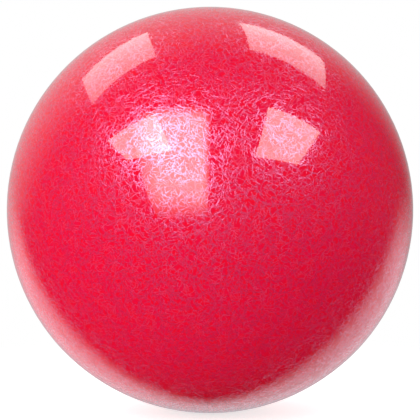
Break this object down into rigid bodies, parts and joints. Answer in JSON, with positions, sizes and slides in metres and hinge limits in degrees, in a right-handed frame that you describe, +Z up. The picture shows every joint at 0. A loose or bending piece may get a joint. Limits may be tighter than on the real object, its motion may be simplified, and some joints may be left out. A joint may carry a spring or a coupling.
{
  "type": "ten-pin bowling ball",
  "caption": "Drilled ten-pin bowling ball with a glittered red polished shell, fingertip inserts and a removable twist-lock thumb sleeve.",
  "frame": {"origin": "centre of the ball", "axes": "+Z up. +Y out of the rear, where the grip is: finger holes above, thumb hole below. -Y out of the plain front. +X towards the middle finger's side."},
  "size_m": [0.2178, 0.2178, 0.2178],
  "materials": {
    "cover_resin": "gloss",
    "core_filler": "matte",
    "block_resin": "matte",
    "pin_resin": "gloss",
    "marker_paint": "gloss",
    "finger_vinyl": "satin",
    "outer_sleeve_plastic": "satin",
    "lock_ring_nylon": "matte",
    "inner_sleeve_plastic": "satin",
    "slug_urethane": "satin",
    "seal_rubber": "matte",
    "cam_aluminium": "satin",
    "plate_steel": "satin",
    "screw_steel": "satin"
  },
  "bodies": {
    "ball": {"coverstock": "cover_resin", "outer_core": "core_filler", "weight_block": "block_resin", "pin_plug": "pin_resin", "cg_marker": "marker_paint", "ring_finger_insert": "finger_vinyl", "middle_finger_insert": "finger_vinyl", "thumb_outer_sleeve": "outer_sleeve_plastic", "thumb_lock_ring": "lock_ring_nylon", "thumb_sleeve_cap": "outer_sleeve_plastic"},
    "thumb_sleeve": {"thumb_inner_sleeve": "inner_sleeve_plastic", "thumb_slug": "slug_urethane", "sleeve_o_ring_outer": "seal_rubber", "sleeve_o_ring_inner": "seal_rubber"},
    "thumb_lock": {"thumb_lock_cam": "cam_aluminium", "stem_o_ring": "seal_rubber", "lock_key_plate": "plate_steel", "lock_screw": "screw_steel"}
  },
  "joints": [
    {"name": "thumb_sleeve_slide", "type": "slide", "parent": "ball", "child": "thumb_sleeve", "axis": [0, 0.9446, -0.3282], "range_m": [0, 0.075]},
    {"name": "lock_turn", "type": "hinge", "parent": "thumb_sleeve", "child": "thumb_lock", "pos_m": [0, 0, 0], "axis": [0, 0.9446, -0.3282], "range_deg": [0, 90]}
  ]
}
